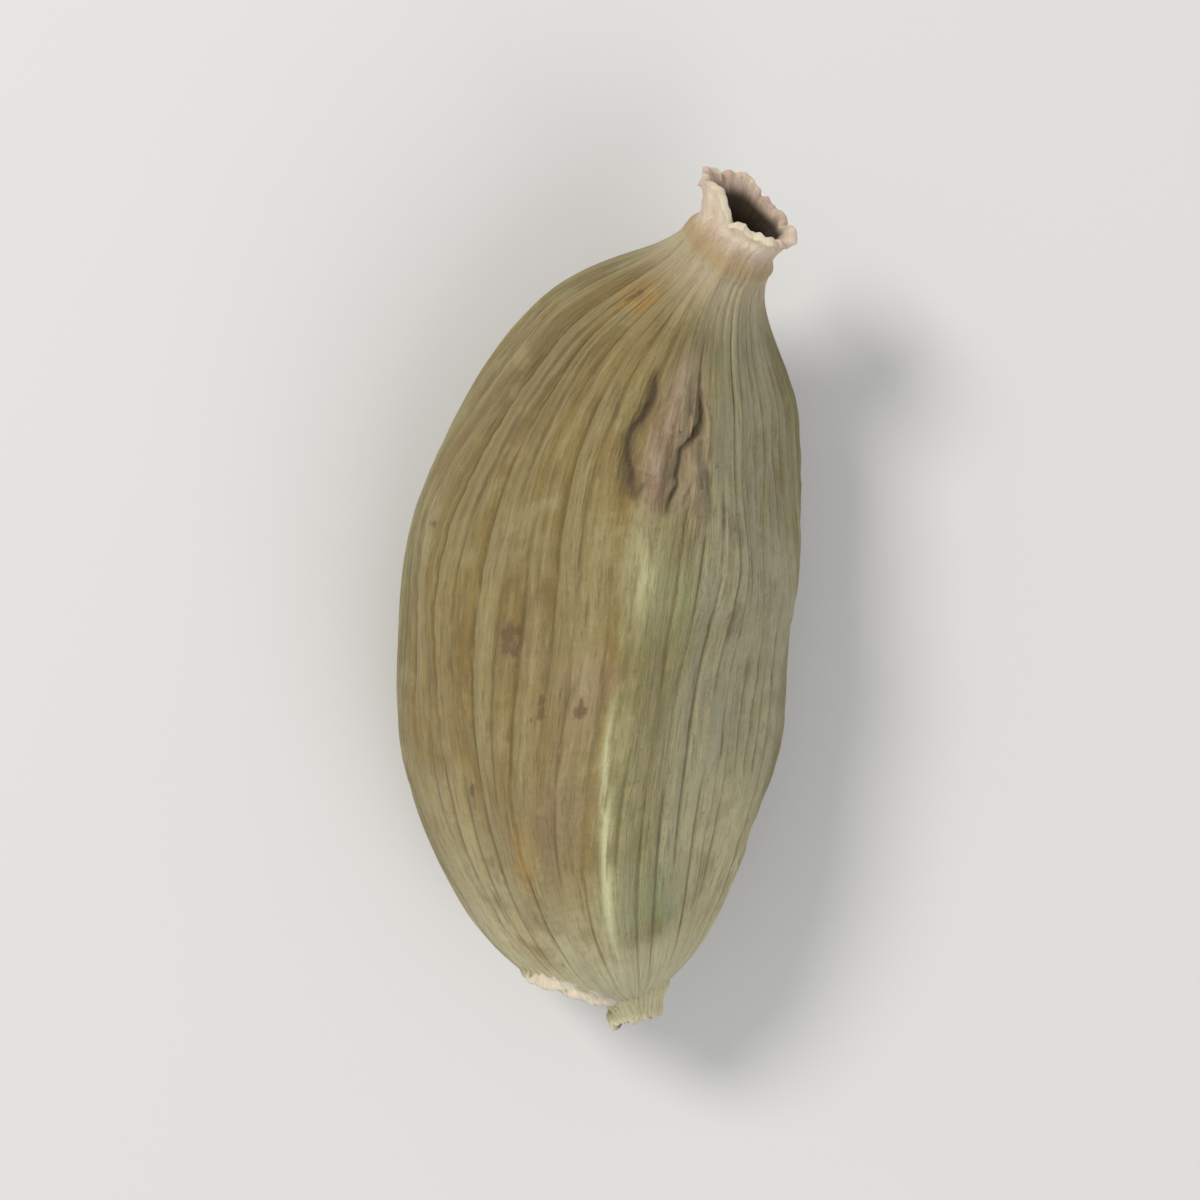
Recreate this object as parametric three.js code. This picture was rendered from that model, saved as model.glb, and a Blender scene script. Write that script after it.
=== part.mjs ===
// Green cardamom pod lying on one of its three faces, in millimetres.
// X runs across the pod, Y along it towards the dried flower tube, and Z up.
// The origin is the middle of the small flat spot that the pod rests on.

import * as THREE from 'three';
import { ParametricGeometry } from 'three/addons/geometries/ParametricGeometry.js';
import { mergeVertices } from 'three/addons/utils/BufferGeometryUtils.js';

const { lerp, degToRad } = THREE.MathUtils;

// Centre line of the husk. A bend shifts one end sideways or up, and its power keeps the bend near that end.
const huskLength = 12.6;
const stalkEndY = -5.8;
const midX = -0.27;
const midHeight = 2.57;
const stalkBend = { shift: 0.9, power: 4.5 };
const neckBend = { shift: 2.42, power: 3.5 };
const neckLift = { shift: 1.55, power: 5 };

// Section of the husk
const huskHalfWidth = 3.32;
const huskSquash = 0.9; // height of a section over its width
const stalkFullness = 0.48; // power of the egg shape along the husk: a lower one is blunter
const bellyFullness = 0.49;
const neckFullness = 0.68;
const neckStart = 0.85; // where the belly turns into the neck, from 0 at the stalk end to 1
const bellyShift = 0.96; // power on the place along the husk: below 1 the belly lies nearer the stalk end
const stalkCollarRadius = 0.48;
const neckCollarRadius = 0.8;
const collarBlend = 2.6;
const faceFlatness = 0.08; // how far the middle of a face lies inside the round section
const shoulderFlatness = 0.03; // added towards the neck
const topSeamTurn = { stalk: 4, middle: 11 }; // degrees that the top seam leans to the right

// Ribs, seams and keels. Widths across the husk are counted in ribs.
const ribsPerFace = 15;
const ribCount = 3 * ribsPerFace;
const ribHeight = 0.13;
const ribMiddle = 0.55; // share of the rib height that lies below the smooth section
const ribBellyFade = 0.3; // share of the rib height that is lost where the seeds stretch the husk
const ribFullWidthRadius = 2.3; // the ribs get lower where the husk is thinner than this
const ribUnevenness = 0.5; // how far a line between two ribs may move to make one wider than the other
const seamHeight = 0.15;
const seamWidth = 0.5;
const keelHeight = 0.16; // the three long edges of the husk stand out like low keels
const keelWidth = 2.2;
const seedLumpHeight = 0.07;

// Slow sideways waves of the rib lines: waves round the husk, waves along it, start and size in ribs
const ribWaves = [
  { round: 2, along: 7.1, start: 0.6, size: 0.24 },
  { round: 5, along: -11.3, start: 2.1, size: 0.12 },
];

// Shrinkage furrows between two ribs: ribs from the top seam, place and reach along the husk, and depth
const furrowWidth = 0.38;
const furrows = [
  { rib: 1, along: 0.75, reach: 0.085, depth: 0.26 },
  { rib: 3, along: 0.845, reach: 0.05, depth: 0.16 },
  { rib: -1, along: 0.79, reach: 0.06, depth: 0.2 },
  { rib: -2, along: 0.7, reach: 0.075, depth: 0.24 },
  { rib: 2, along: 0.42, reach: 0.07, depth: 0.12 },
];

// Torn hollow beside the stalk end, on the left. Its upper edge slants across the ribs from startRib.
const tearDepth = 0.24;
const tearEdge = { startRib: 4.6, ribsAlong: 95, width: 1.2 };
const tearEndRib = 18;
const tearReach = 0.058;
const tearFade = 0.01;

// Dried flower tube on the neck
const tubeLength = 1.1;
const tubeRootRadius = 0.78;
const tubeWaistRadius = 0.68;
const tubeRimRadius = 0.92;
const tubeWall = 0.26;
const tubeHoleDepth = 0.85;
const tubeRimOval = 0.12;
const tubePleats = { count: 7, depth: 0.04 };

// Torn lobes of the rim: place round the tube and width in degrees, and height
const tubeLobes = [
  { at: 192, width: 20, height: 0.14 },
  { at: 230, width: 22, height: 0.3 },
  { at: 296, width: 30, height: -0.1 },
  { at: 350, width: 18, height: -0.05 },
  { at: 60, width: 22, height: -0.08 },
  { at: 105, width: 26, height: 0.12 },
];

// Stalk stub: it narrows from its root to a waist, and has a torn lip on its left side
const stubLength = 0.36;
const stubRootRadius = 0.56;
const stubWaistRadius = 0.45;
const stubEndRadius = 0.42;
const stubScarDepth = 0.1;
const stubLip = { at: 170, width: 40, spread: 0.5, height: 0.1 };

const gap = 0.05; // clearance between the husk and what grows on its ends

// Mesh steps
const columnsPerRib = 3;
const huskRows = 40;
const tubeColumns = 60;
const tubeOuterSteps = 7;
const tubeInnerSteps = 5;
const stubColumns = 36;

// A repeatable number from 0 to 1 for each whole number
function chance(index) {
  const value = Math.sin(index * 12.9898) * 43758.5453;
  return value - Math.floor(value);
}

function smoothStep(low, high, value) {
  const share = Math.min(1, Math.max(0, (value - low) / (high - low)));
  return share * share * (3 - 2 * share);
}

// A smooth hump of height 1 around a centre
function hump(value, centre, width) {
  const reach = (value - centre) / width;
  return Math.exp(-reach * reach);
}

// The same round a ring: the angle is in radians, the centre and width are in degrees
function humpRound(angle, centre, width) {
  const away = Math.atan2(Math.sin(angle - degToRad(centre)), Math.cos(angle - degToRad(centre)));
  return hump(away, 0, degToRad(width));
}

// Centre line of the husk, from the stalk end (along = 0) to the neck (along = 1)
function centreLine(along) {
  const stalkShift = stalkBend.shift * (1 - along) ** stalkBend.power;
  const neckShift = neckBend.shift * along ** neckBend.power;
  const lift = neckLift.shift * along ** neckLift.power;
  return new THREE.Vector3(midX + stalkShift + neckShift, stalkEndY + huskLength * along, midHeight + lift);
}

// Centre and axes of the section at one place on the centre line
function sectionAt(along) {
  const step = 1e-4;
  const before = centreLine(Math.max(0, along - step));
  const direction = centreLine(Math.min(1, along + step)).sub(before).normalize();
  const side = direction.clone().cross(new THREE.Vector3(0, 0, 1)).normalize();
  const up = side.clone().cross(direction);
  return { centre: centreLine(along), direction, side, up };
}

// Mean radius of the husk: an egg shape that flows into the collars at its two ends
function swell(along) {
  const belly = lerp(stalkFullness, bellyFullness, smoothStep(0, 0.5, along));
  const fullness = lerp(belly, neckFullness, smoothStep(neckStart, 1, along));
  const egg = huskHalfWidth * Math.max(0, Math.sin(Math.PI * along ** bellyShift)) ** fullness;
  const collar = lerp(stalkCollarRadius, neckCollarRadius, smoothStep(0.3, 0.7, along));
  return (egg ** collarBlend + collar ** collarBlend) ** (1 / collarBlend);
}

// Moves each line between two ribs a little, and the skin between two lines with them
function unevenRib(rib) {
  const line = Math.floor(rib);
  const shiftOf = (index) => ribUnevenness * (chance((index % ribCount) + 307) - 0.5);
  return rib + lerp(shiftOf(line), shiftOf(line + 1), rib - line);
}

// Angle of a rib line round the section. The lines are counted in ribs from the top seam.
function ribAngle(rib, along) {
  const turn = (2 * Math.PI) / ribCount;
  const topWeight = ((1 + Math.cos(rib * turn)) / 2) ** 2;
  const seamTurn = lerp(topSeamTurn.stalk, topSeamTurn.middle, smoothStep(0, 0.6, along)) * topWeight;
  const wander = ribWaves.reduce((sum, wave) => {
    return sum + wave.size * Math.sin(wave.round * rib * turn + wave.along * along + wave.start);
  }, 0);
  return Math.PI / 2 - degToRad(seamTurn) + (unevenRib(rib) + wander) * turn;
}

// How strongly one rib stands out at one place: ribs fade and swell along the pod
function ribStrength(ribIndex, along) {
  const phase = 2 * Math.PI * chance(ribIndex + 3);
  const pace = 6 + 8 * chance(ribIndex + 57);
  const strength = 0.62 + 0.3 * chance(ribIndex + 101) + 0.24 * Math.sin(pace * along + phase);
  return strength * (1 - ribBellyFade * hump(along, 0.45, 0.25));
}

// Depth of the shrinkage furrows at one place
function furrowsAt(fromTop, along) {
  return furrows.reduce((depth, furrow) => {
    const across = hump(fromTop, furrow.rib, furrowWidth);
    return depth + furrow.depth * across * hump(along, furrow.along, furrow.reach);
  }, 0);
}

// Depth of the torn hollow at one place
function tearAt(fromTop, along) {
  const edge = tearEdge.startRib + tearEdge.ribsAlong * along;
  const inside = smoothStep(edge, edge + tearEdge.width, fromTop);
  const farSide = smoothStep(tearEndRib + 2, tearEndRib - 2, fromTop);
  const start = smoothStep(0, tearFade, along);
  const end = smoothStep(tearReach + tearFade, tearReach - tearFade, along);
  return tearDepth * inside * farSide * start * end;
}

// Low swellings where the seeds push the husk out, offset from face to face
function seedLumps(rib, along) {
  const around = (2 * Math.PI * rib) / ribCount;
  const rows = Math.sin(20 * along + 1.7 * Math.sin(3 * around)) * Math.sin(3 * around + 0.5);
  return seedLumpHeight * hump(along, 0.5, 0.42) * rows;
}

// Height of ribs, seams, keels and seed lumps above the smooth section, less the furrows and the torn hollow
function relief(rib, along, radius) {
  const ribIndex = Math.floor(rib + 1e-6) % ribCount;
  const acrossRib = rib - Math.floor(rib + 1e-6);
  const arch = Math.max(0, Math.sin(Math.PI * acrossRib)) ** 0.8;
  const fineness = Math.min(1, radius / ribFullWidthRadius);
  const ribs = ribHeight * (arch * ribStrength(ribIndex, along) - ribMiddle);

  const fromSeam = rib - ribsPerFace * Math.round(rib / ribsPerFace);
  const seamFade = smoothStep(0.02, 0.16, along) * (1 - 0.6 * smoothStep(0.85, 1, along));
  const seam = seamHeight * hump(fromSeam, 0, seamWidth) + keelHeight * hump(fromSeam, 0, keelWidth);

  const fromTop = rib > ribCount / 2 ? rib - ribCount : rib;
  const cuts = furrowsAt(fromTop, along) * fineness + tearAt(fromTop, along);
  return ribs * fineness + seam * seamFade + seedLumps(rib, along) - cuts;
}

// A point on the husk's skin
function huskSkin(rib, along) {
  const { centre, side, up } = sectionAt(along);
  const radius = swell(along);
  const flatness = (faceFlatness + shoulderFlatness * smoothStep(0.6, 0.85, along))
    * (1 - 0.7 * smoothStep(0.9, 1, along));
  const threeSided = 1 + flatness * Math.cos((2 * Math.PI * rib) / ribsPerFace);
  const reach = radius * threeSided + relief(rib, along, radius);
  const angle = ribAngle(rib, along);
  const squash = lerp(1, huskSquash, smoothStep(0.8, 2.4, radius));
  const point = centre
    .addScaledVector(side, reach * Math.cos(angle))
    .addScaledVector(up, reach * Math.sin(angle) * squash);
  point.z = Math.max(0, point.z); // the small flat spot underneath
  return point;
}

// Turns a closed parametric surface into one closed mesh with no doubled points or empty triangles
function closedMesh(surface, columns, rows) {
  const geometry = new ParametricGeometry(surface, columns, rows);
  geometry.deleteAttribute('normal');
  geometry.deleteAttribute('uv');
  const merged = mergeVertices(geometry, 1e-5);
  const corners = merged.getIndex().array;
  const kept = [];
  for (let first = 0; first < corners.length; first += 3) {
    const [a, b, c] = corners.slice(first, first + 3);
    if (a !== b && b !== c && c !== a) {
      kept.push(a, b, c);
    }
  }
  merged.setIndex(kept);
  merged.computeVertexNormals();
  return merged;
}

// Husk: rows close together at the ends, and a middle point that caps each end
function makeHuskGeometry() {
  const surface = (u, v, target) => {
    const row = Math.round(v * huskRows);
    const share = Math.min(1, Math.max(0, (row - 1) / (huskRows - 2)));
    const along = (1 - Math.cos(Math.PI * share)) / 2;
    if (row === 0 || row === huskRows) {
      target.copy(centreLine(along));
    } else {
      target.copy(huskSkin(((1 - u) % 1) * ribCount, along));
    }
  };
  return closedMesh(surface, ribCount * columnsPerRib, huskRows);
}

// A piece turned about the axis of one end of the husk, from a list of rings.
// shapeRing gives the distance from the axis and along it for a ring at an angle.
function makeEndPiece(rings, columns, shapeRing) {
  const surface = (u, v, target) => {
    const ring = rings[Math.round(v * (rings.length - 1))];
    const angle = 2 * Math.PI * (u % 1);
    const { reach, out } = shapeRing(ring, angle);
    target.set(reach * Math.cos(angle), reach * Math.sin(angle), out);
  };
  return closedMesh(surface, columns, rings.length - 1);
}

// Outer radius of the flower tube, from its root (share = 0) to its rim (share = 1)
function tubeRadius(share) {
  const root = (tubeRootRadius - tubeWaistRadius) * (1 - share) ** 4;
  const flare = (tubeRimRadius - tubeWaistRadius) * share ** 2.2;
  return tubeWaistRadius + root + flare;
}

// Flower tube: up the outside, over the rim and down into a blind hole
function makeTubeGeometry() {
  const rings = [{ out: 0, radius: 0, rim: 0 }];
  for (let step = 0; step <= tubeOuterSteps; step += 1) {
    const share = step / tubeOuterSteps;
    rings.push({ out: share * tubeLength, radius: tubeRadius(share), rim: share ** 3 });
  }
  for (let step = 0; step <= tubeInnerSteps; step += 1) {
    const share = 1 - (tubeHoleDepth / tubeLength) * (step / tubeInnerSteps);
    rings.push({ out: share * tubeLength, radius: tubeRadius(share) - tubeWall, rim: share ** 3 });
  }
  rings.push({ out: tubeLength - tubeHoleDepth - 0.06, radius: 0, rim: 0 });

  const tornRing = (ring, angle) => {
    const lobes = tubeLobes.reduce((sum, lobe) => {
      return sum + lobe.height * humpRound(angle, lobe.at, lobe.width);
    }, 0);
    const pleatWave = Math.sin(tubePleats.count * angle + 0.8) * Math.min(1, 2 * ring.rim);
    const pleats = 1 + tubePleats.depth * pleatWave;
    const oval = 1 + tubeRimOval * Math.cos(2 * angle + 0.6) * ring.rim;
    return { reach: ring.radius * pleats * oval, out: ring.out + lobes * ring.rim };
  };
  return makeEndPiece(rings, tubeColumns, tornRing);
}

// Stalk stub: a short blunt peg with a sunken scar on its end and a torn lip on one side
function makeStubGeometry() {
  const rings = [
    { out: 0, radius: 0 },
    { out: 0, radius: stubRootRadius },
    { out: 0.2 * stubLength, radius: lerp(stubRootRadius, stubWaistRadius, 0.7) },
    { out: 0.45 * stubLength, radius: stubWaistRadius },
    { out: 0.75 * stubLength, radius: stubEndRadius },
    { out: stubLength, radius: stubEndRadius * 0.92 },
    { out: stubLength * 0.98, radius: stubEndRadius * 0.7 },
    { out: stubLength - stubScarDepth, radius: stubEndRadius * 0.45 },
    { out: stubLength - stubScarDepth, radius: 0 },
  ];
  const unevenRing = (ring, angle) => {
    const share = ring.out / stubLength;
    const lip = humpRound(angle, stubLip.at, stubLip.width) * share ** 2;
    const bulge = 1 + 0.05 * Math.sin(3 * angle + 1.1) * share + 0.04 * Math.sin(8 * angle);
    return {
      reach: ring.radius * (bulge + stubLip.spread * lip),
      out: ring.out - stubLip.height * lip * (ring.radius / stubEndRadius),
    };
  };
  return makeEndPiece(rings, stubColumns, unevenRing);
}

// Places a piece on one end of the husk, pointing out along the centre line
function placeOnEnd(mesh, along, outward) {
  const { centre, direction, side } = sectionAt(along);
  const axis = direction.clone().multiplyScalar(outward);
  const other = axis.clone().cross(side);
  mesh.quaternion.setFromRotationMatrix(new THREE.Matrix4().makeBasis(side, other, axis));
  mesh.position.copy(centre).addScaledVector(axis, gap);
  return mesh;
}

function makeMesh(name, geometry, color, roughness) {
  const material = new THREE.MeshStandardMaterial({ color, roughness, metalness: 0 });
  const mesh = new THREE.Mesh(geometry, material);
  mesh.name = name;
  return mesh;
}

const pod = new THREE.Group();
pod.add(makeMesh('husk', makeHuskGeometry(), 0xa2a06c, 0.72));
pod.add(placeOnEnd(makeMesh('calyx_tube', makeTubeGeometry(), 0xe6d5b8, 0.8), 1, 1));
pod.add(placeOnEnd(makeMesh('stalk_stub', makeStubGeometry(), 0xc9bd94, 0.85), 0, -1));

export default pod;
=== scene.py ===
import math
import bpy
import numpy as np
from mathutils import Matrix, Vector


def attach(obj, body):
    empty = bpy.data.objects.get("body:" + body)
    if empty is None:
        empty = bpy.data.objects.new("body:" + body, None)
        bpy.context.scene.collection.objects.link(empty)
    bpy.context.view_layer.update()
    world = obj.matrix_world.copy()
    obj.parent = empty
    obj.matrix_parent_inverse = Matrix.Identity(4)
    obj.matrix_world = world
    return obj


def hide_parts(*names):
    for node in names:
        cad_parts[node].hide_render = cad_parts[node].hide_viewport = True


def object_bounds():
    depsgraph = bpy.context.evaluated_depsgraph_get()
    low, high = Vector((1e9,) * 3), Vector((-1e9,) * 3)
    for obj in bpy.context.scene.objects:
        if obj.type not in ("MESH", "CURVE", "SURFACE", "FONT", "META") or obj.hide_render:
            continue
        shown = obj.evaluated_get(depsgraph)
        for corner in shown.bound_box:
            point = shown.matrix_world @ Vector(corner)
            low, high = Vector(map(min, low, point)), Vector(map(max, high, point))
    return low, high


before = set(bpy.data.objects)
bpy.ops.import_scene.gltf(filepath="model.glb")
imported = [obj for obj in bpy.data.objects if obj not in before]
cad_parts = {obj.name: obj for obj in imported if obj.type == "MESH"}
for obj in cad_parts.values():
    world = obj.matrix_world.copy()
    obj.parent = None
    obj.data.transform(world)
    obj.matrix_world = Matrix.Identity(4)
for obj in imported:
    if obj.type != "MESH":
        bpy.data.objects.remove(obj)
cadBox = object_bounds()
bpy.context.scene.view_settings.view_transform = "Standard"
print("stage: frame loaded")

mm = 0.001
ribsPerFace = 15
ribCount = 3 * ribsPerFace
ribTurn = 2 * math.pi / ribCount
ribNudge = 1e-6       # keeps a place on the line between two ribs from falling below it
ribUnevenness = 0.5   # how far a line between two ribs may move, in ribs
growthGap = 0.05      # what the solids leave between the husk and what grows on its ends

# slow waves that the ribs follow: size in ribs, waves round the pod, turn along it, phase
ribWander = [
    (0.24, 2, 7.1, 0.6),
    (0.12, 5, -11.3, 2.1),
]

# what differs from rib to rib, with the number that gives each its own draw
ribDraws = {
    "lineShift": 307,
    "strength": 101,
    "wavePhase": 3,
    "wavePace": 57,
    "splits": 149,
    "splitPace": 71,
    "splitPhase": 431,
    "tone": 211,
    "tonePhase": 17,
}

# the husk's form, in millimetres, as the solid has it; a bend is (shift, power)
podForm = {
    "length": 12.6,
    "stalkEndY": -5.8,
    "midX": -0.27,
    "midHeight": 2.57,
    "stalkBend": (0.9, 4.5),
    "neckBend": (2.42, 3.5),
    "neckLift": (1.55, 5),
    "halfWidth": 3.32,
    "squash": 0.9,                 # height of a section over its width
    "stalkFullness": 0.48,         # the lower a fullness, the blunter the husk is there
    "bellyFullness": 0.49,
    "neckFullness": 0.68,
    "neckStart": 0.85,             # share of the way along where the neck begins
    "bellyShift": 0.96,            # below 1, the widest place is nearer to the stalk end
    "stalkCollar": 0.48,           # the least radius at each end
    "neckCollar": 0.8,
    "collarBlend": 2.6,            # how sharply the belly turns into the collars
    "faceFlatness": 0.08,          # how three-sided it is
    "shoulderFlatness": 0.03,      # what is added to that towards the neck
    "seamTurn": (4, 11),           # degrees that the top seam leans, at the stalk end and in the middle
    "tearDepth": 0.24,             # the torn hollow beside the stalk end
    "tearEdge": (4.6, 95, 1.2),    # rib where its edge starts, ribs that it crosses, its width in ribs
    "tearEnd": (18, 0.058, 0.01),  # its last rib, its reach along the husk, and how fast it fades
}


def smoothStep(low, high, value):
    share = np.clip((value - low) / (high - low), 0, 1)
    return share * share * (3 - 2 * share)


def hump(value, centre, width):
    return np.exp(-((value - centre) / width) ** 2)


def humpRound(angle, centre, width):
    # the same round a ring: the angle in radians, the centre and width in degrees
    away = angle - math.radians(centre)
    return hump(np.arctan2(np.sin(away), np.cos(away)), 0, math.radians(width))


def mix(a, b, share):
    return a + (b - a) * share


def chance(ribIndex, draw):
    # a number from 0 to 1 that each rib draws for one thing
    value = np.sin((ribIndex + ribDraws[draw]) * 12.9898) * 43758.5453
    return value - np.floor(value)


def patchNoise(around, along, cellsAround, cellsAlong, seed):
    # smooth random patches from -1 to 1 that join up round the pod; around and along run 0 to 1
    draws = np.random.default_rng(seed).uniform(-1, 1, (cellsAlong + 2, cellsAround))
    x = (around % 1) * cellsAround
    y = np.clip(along, 0, 1) * cellsAlong
    column = np.floor(x).astype(int) % cellsAround
    row = np.floor(y).astype(int)
    acrossShare = smoothStep(0, 1, x - np.floor(x))
    alongShare = smoothStep(0, 1, y - np.floor(y))
    nextColumn = (column + 1) % cellsAround
    low = mix(draws[row, column], draws[row, nextColumn], acrossShare)
    high = mix(draws[row + 1, column], draws[row + 1, nextColumn], acrossShare)
    return mix(low, high, alongShare)


def centreLine(along):
    # the line through the middle of the pod; along is 0 at the stalk end and 1 at the neck
    form = podForm
    along = np.asarray(along, float)
    stalkShift = form["stalkBend"][0] * (1 - along) ** form["stalkBend"][1]
    neckShift = form["neckBend"][0] * along ** form["neckBend"][1]
    return np.stack([
        form["midX"] + stalkShift + neckShift,
        form["stalkEndY"] + form["length"] * along,
        form["midHeight"] + form["neckLift"][0] * along ** form["neckLift"][1],
    ], axis=-1)


def sectionAt(along):
    # the centre of a section, the way that the pod runs there, and the section's side and up
    step = 1e-4
    ahead = centreLine(np.clip(along + step, 0, 1))
    direction = ahead - centreLine(np.clip(along - step, 0, 1))
    direction /= np.linalg.norm(direction, axis=-1, keepdims=True)
    side = np.cross(direction, [0.0, 0.0, 1.0])
    side /= np.linalg.norm(side, axis=-1, keepdims=True)
    up = np.cross(side, direction)
    return centreLine(along), direction, side, up


def swell(along):
    # the smooth radius of a section
    form = podForm
    belly = mix(form["stalkFullness"], form["bellyFullness"], smoothStep(0, 0.5, along))
    fullness = mix(belly, form["neckFullness"], smoothStep(form["neckStart"], 1, along))
    egg = form["halfWidth"] * np.maximum(0, np.sin(math.pi * along ** form["bellyShift"])) ** fullness
    collar = mix(form["stalkCollar"], form["neckCollar"], smoothStep(0.3, 0.7, along))
    blend = form["collarBlend"]
    return (egg ** blend + collar ** blend) ** (1 / blend)


def ribParts(rib):
    # the line where a rib starts, and the share of the way across that rib
    line = np.floor(rib + ribNudge)
    return line, rib - line


def unevenRib(rib):
    # moves each line between two ribs a little, and the skin between two lines with them
    line, acrossRib = ribParts(rib)
    low = ribUnevenness * (chance(line % ribCount, "lineShift") - 0.5)
    high = ribUnevenness * (chance((line + 1) % ribCount, "lineShift") - 0.5)
    return rib + mix(low, high, acrossRib)


def ribAngle(rib, along):
    # where a rib lies round a section, in radians from its side
    topWeight = ((1 + np.cos(rib * ribTurn)) / 2) ** 2
    seamTurn = mix(*podForm["seamTurn"], smoothStep(0, 0.6, along)) * topWeight
    wander = 0
    for size, waves, twist, phase in ribWander:
        wander = wander + size * np.sin(waves * rib * ribTurn + twist * along + phase)
    return math.pi / 2 - np.radians(seamTurn) + (unevenRib(rib) + wander) * ribTurn


def fromTopSeam(rib):
    # ribs from the top seam: above 0 on the left face, below 0 on the right one
    return np.where(rib > ribCount / 2, rib - ribCount, rib)


# what a user would change on the husk; heights in millimetres
huskLook = {
    "columnsPerRib": 9,
    "rows": 244,
    "ribHeight": 0.095,
    "fullRadius": 2.3,         # where the husk is thinner than this, its relief is lower too
    "bellyFade": 0.3,          # share of the rib height lost where the seeds stretch the husk
    "valleyFill": 0.65,        # how far a valley between two ribs can fill up
    "seamHeight": 0.15,        # the thin line along each of the three seams
    "keelHeight": 0.16,        # the broad ridge under that line
    "seedLumps": 0.07,
    "crackDepth": 0.06,        # thin sharp lines in the folds and the scar
    "crackWidth": 0.13,        # in ribs
    "fibresPerRib": 3,
    "fibreHeight": 0.014,
    "grainHeight": 0.020,
    "puckerHeight": 0.018,     # cross wrinkles
    "scarHeight": 0.10,        # wrinkles of the scar beside the top seam
    "dentDepth": 0.06,
    "swayHeight": 0.04,
    "tornHeight": 0.22,        # the ragged lip round the torn hollow
    "tornLine": (-0.7, 1.0),   # where it stands up: ribs from the hollow's edge, and its width in ribs
    "tornPaint": (-1.5, 1.9),  # where it is cream, the same way
    "threadStretch": 0.42,     # how far the threads' noise runs along the husk
    "olive": (0.235, 0.203, 0.079),
    "gold": (0.262, 0.180, 0.054),
    "green": (0.27, 0.31, 0.14),
    "grey": (0.42, 0.395, 0.25),
    "orange": (0.47, 0.265, 0.055),
    "pink": (0.30, 0.20, 0.13),
    # umber: the mottles' own brown, and painted shade high on the left face
    "umber": (0.20, 0.14, 0.047),
    # light: painted light, paler towards the stalk end and low on the faces
    "light": (0.57, 0.515, 0.295),
    "pale": (0.44, 0.375, 0.185),
    # valley: the valleys' darker colour, partly painted shade there, also used for dark threads
    "valley": (0.14, 0.105, 0.04),
    "seam": (0.68, 0.67, 0.38),
    "stain": (0.15, 0.085, 0.04),
    # painted highlight on raised folds, painted shade in deep folds and in the cracks
    "foldHighlight": (0.40, 0.315, 0.225),
    "foldShade": (0.15, 0.11, 0.055),
    "crack": (0.085, 0.055, 0.03),
    "hollow": (0.20, 0.13, 0.065),
    "straw": (0.58, 0.48, 0.30),
    # tip: painted light at the tip of the stalk end
    "tip": (0.68, 0.63, 0.39),
    "cream": (0.86, 0.76, 0.58),
}

# shrinkage folds: depth (below 0 for a raised one), width in ribs, then its course from the stalk
# towards the neck as places along the husk with the ribs from the top seam
folds = [
    (0.17, 0.30, (0.725, 0.80), (0.787, 1.26), (0.845, 0.95), (0.88, 1.10)),
    (-0.07, 0.32, (0.745, 0.15), (0.803, 0.50), (0.859, 0.08), (0.915, -0.05)),
    (0.14, 0.32, (0.705, -0.2), (0.756, -0.38), (0.804, -0.50), (0.845, -1.35), (0.88, -1.20)),
    (-0.05, 0.30, (0.72, -1.2), (0.78, -1.25), (0.82, -0.6)),
    (0.07, 0.28, (0.715, -2.3), (0.76, -2.0), (0.79, -1.8)),
    (0.06, 0.28, (0.815, 2.05), (0.835, 2.2), (0.865, 2.8)),
    (0.05, 0.30, (0.385, 2.0), (0.45, 2.1)),
]

# thin cracks beside the folds, sunk and painted dark as painted shade: ribs from the top seam, place and
# reach along the husk, strength
cracks = [
    (0.5, 0.86, 0.04, 0.5),
    (0.55, 0.735, 0.03, 0.6),
    (-0.4, 0.87, 0.035, 0.5),
    (-0.9, 0.735, 0.035, 0.6),
    (-1.6, 0.76, 0.03, 0.5),
    (-2.9, 0.73, 0.04, 0.5),
    (1.8, 0.80, 0.04, 0.4),
    (1.2, 0.47, 0.03, 0.35),
]

# brown marks: ribs from the top seam, place along the husk, width in ribs, reach along it, strength
marks = [
    (4.4, 0.486, 0.55, 0.022, 0.9),
    (4.1, 0.450, 0.28, 0.020, 0.6),
    (3.1, 0.400, 0.32, 0.024, 0.7),
    (1.7, 0.410, 0.40, 0.016, 0.85),
    (6.6, 0.300, 0.26, 0.020, 0.6),
    (9.3, 0.610, 0.30, 0.016, 0.6),
    (-5.2, 0.360, 0.28, 0.016, 0.6),
    (-8.4, 0.580, 0.32, 0.013, 0.5),
    (6.1, 0.935, 0.55, 0.014, 0.9),
    (17.0, 0.350, 0.50, 0.018, 0.8),
    (-19.0, 0.620, 0.50, 0.022, 0.8),
    (-13.5, 0.250, 0.34, 0.016, 0.7),
]


def ribStrength(ribIndex, along):
    # each rib has its own height, which comes and goes along the husk
    phase = 2 * math.pi * chance(ribIndex, "wavePhase")
    pace = 6 + 8 * chance(ribIndex, "wavePace")
    strength = 0.62 + 0.3 * chance(ribIndex, "strength") + 0.24 * np.sin(pace * along + phase)
    return strength * (1 - huskLook["bellyFade"] * hump(along, 0.45, 0.25))


def ribArch(ribIndex, acrossRib, along):
    # one rounded rib, or two thin ones side by side where the rib has split
    single = np.maximum(0, np.sin(math.pi * acrossRib)) ** 0.8
    pair = 0.82 * np.abs(np.sin(2 * math.pi * acrossRib)) ** 0.8
    pace = 4 + 6 * chance(ribIndex, "splitPace")
    wave = np.sin(pace * along + 2 * math.pi * chance(ribIndex, "splitPhase"))
    split = smoothStep(0.05, 0.7, wave) * (chance(ribIndex, "splits") > 0.3)
    return mix(single, pair, split)


def hollowShare(fromTop, along):
    # the torn hollow beside the stalk end, from 0 to 1
    startRib, ribsAlong, width = podForm["tearEdge"]
    lastRib, reach, fade = podForm["tearEnd"]
    edge = startRib + ribsAlong * along
    inside = smoothStep(edge, edge + width, fromTop) * smoothStep(lastRib + 2, lastRib - 2, fromTop)
    return inside * smoothStep(0, fade, along) * smoothStep(reach + fade, reach - fade, along)


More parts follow.
